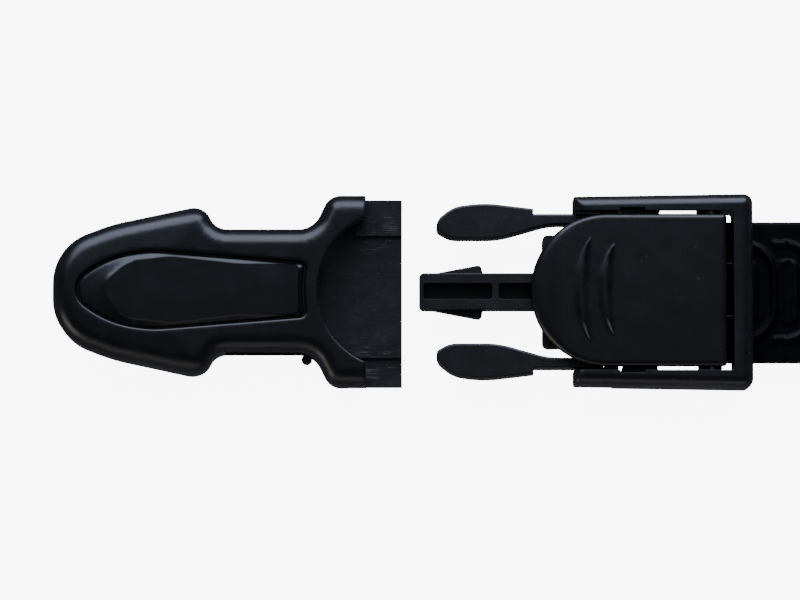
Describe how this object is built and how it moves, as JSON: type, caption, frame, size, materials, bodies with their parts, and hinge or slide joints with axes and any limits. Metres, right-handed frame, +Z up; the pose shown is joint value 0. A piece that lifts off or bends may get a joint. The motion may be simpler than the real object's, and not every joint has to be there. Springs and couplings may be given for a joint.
{
  "type": "quick-release strap buckle",
  "caption": "Side-release buckle for a rubber fin strap: a stud-mounted receiver, a sprung plug and a lever that frees the doubled strap.",
  "frame": {"origin": "centre of the stud socket's mouth, on the plane that the buckle rests on", "axes": "+X from the receiver's nose towards the strap, +Z up out of the lever, +Y to the left when looking along +X"},
  "size_m": [0.1443, 0.0348, 0.0105],
  "materials": {
    "satin_shell": "satin",
    "scuffed_base": "fine texture with handling scratches",
    "matte_insert": "fine moulded texture",
    "satin_lever": "satin",
    "strap_rubber": "matte",
    "pin_steel": "drawn",
    "spring_steel": "drawn wire"
  },
  "bodies": {
    "receiver": {"receiver_base": "scuffed_base", "receiver_cover": "satin_shell", "cover_inlay": "satin_shell", "stud_clip": "spring_steel", "base_screws": "pin_steel"},
    "plug": {"strap_frame": "satin_lever", "chassis": "matte_insert", "chassis_pin": "pin_steel", "strap_bar": "pin_steel", "lever_pin": "pin_steel", "lever_spring_left": "spring_steel", "lever_spring_right": "spring_steel", "strap": "strap_rubber"},
    "arm_left": {"latch_arm_left": "matte_insert"},
    "arm_right": {"latch_arm_right": "matte_insert"},
    "lever": {"release_lever": "satin_lever"}
  },
  "joints": [
    {"name": "plug_slide", "type": "slide", "parent": "receiver", "child": "plug", "axis": [1, 0, 0], "range_m": [-0.037, 0], "deforming": ["latch_arm_left", "latch_arm_right"]},
    {"name": "arm_left_flex", "type": "hinge", "parent": "plug", "child": "arm_left", "pos_m": [0.084, -0.0129, 0.0047], "axis": [0, 0, -1], "range_deg": [0, 6.5], "stiffness_Nm_per_rad": 0.03, "springref_deg": -2.86},
    {"name": "arm_right_flex", "type": "hinge", "parent": "plug", "child": "arm_right", "pos_m": [0.084, 0.0129, 0.0047], "axis": [0, 0, 1], "range_deg": [0, 6.5], "stiffness_Nm_per_rad": 0.03, "springref_deg": -2.86},
    {"name": "lever_lift", "type": "hinge", "parent": "plug", "child": "lever", "pos_m": [0.1041, 0, 0.0076], "axis": [0, 1, 0], "range_deg": [0, 40], "stiffness_Nm_per_rad": 0.01, "springref_deg": -17.19, "deforming": ["lever_spring_left", "lever_spring_right"]}
  ]
}
